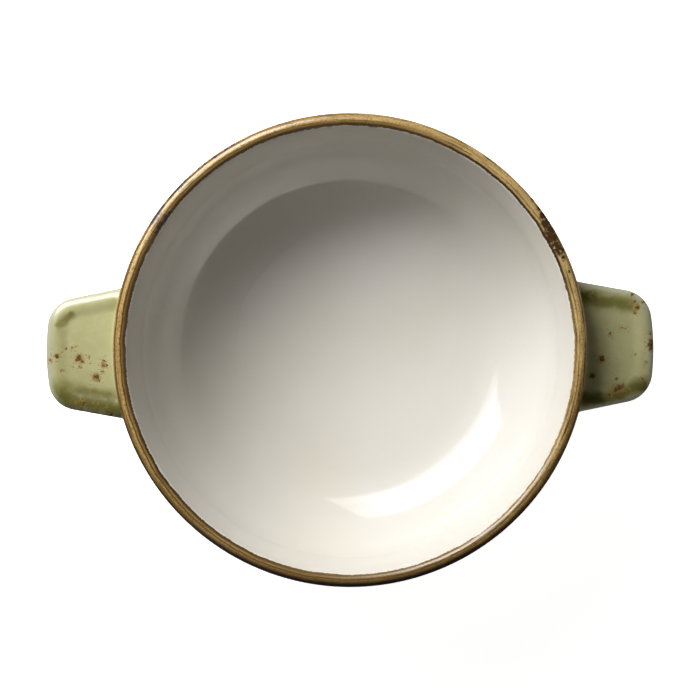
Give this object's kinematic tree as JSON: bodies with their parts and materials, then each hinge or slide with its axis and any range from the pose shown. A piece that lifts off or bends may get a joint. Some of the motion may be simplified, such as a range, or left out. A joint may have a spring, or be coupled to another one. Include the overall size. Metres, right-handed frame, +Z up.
{
  "type": "lug soup bowl",
  "caption": "Round deep soup bowl on a foot ring, with a flat moulded lug on each side just below the rim. Glazed stoneware, cream inside and green outside, with a brown rim.",
  "frame": {"origin": "centre of the foot ring's standing face", "axes": "+Z up along the bowl's axis, +X towards the right lug, -Y towards the bottom of the picture"},
  "size_m": [0.1686, 0.13, 0.058],
  "materials": {
    "clay": "bare fired stoneware, matt and finely gritty",
    "cream_glaze": "smooth gloss",
    "brown_glaze": "brushed gloss with fine dark streaks",
    "green_glaze": "gloss, pooled darker in hollows, with brown speckles"
  },
  "bodies": {
    "root": {"bowl_body": "clay", "foot_ring": "clay", "left_lug": "clay", "right_lug": "clay", "inner_glaze": "cream_glaze", "rim_glaze": "brown_glaze", "outer_glaze": "green_glaze", "left_lug_glaze": "green_glaze", "right_lug_glaze": "green_glaze", "base_glaze": "green_glaze"}
  },
  "joints": []
}
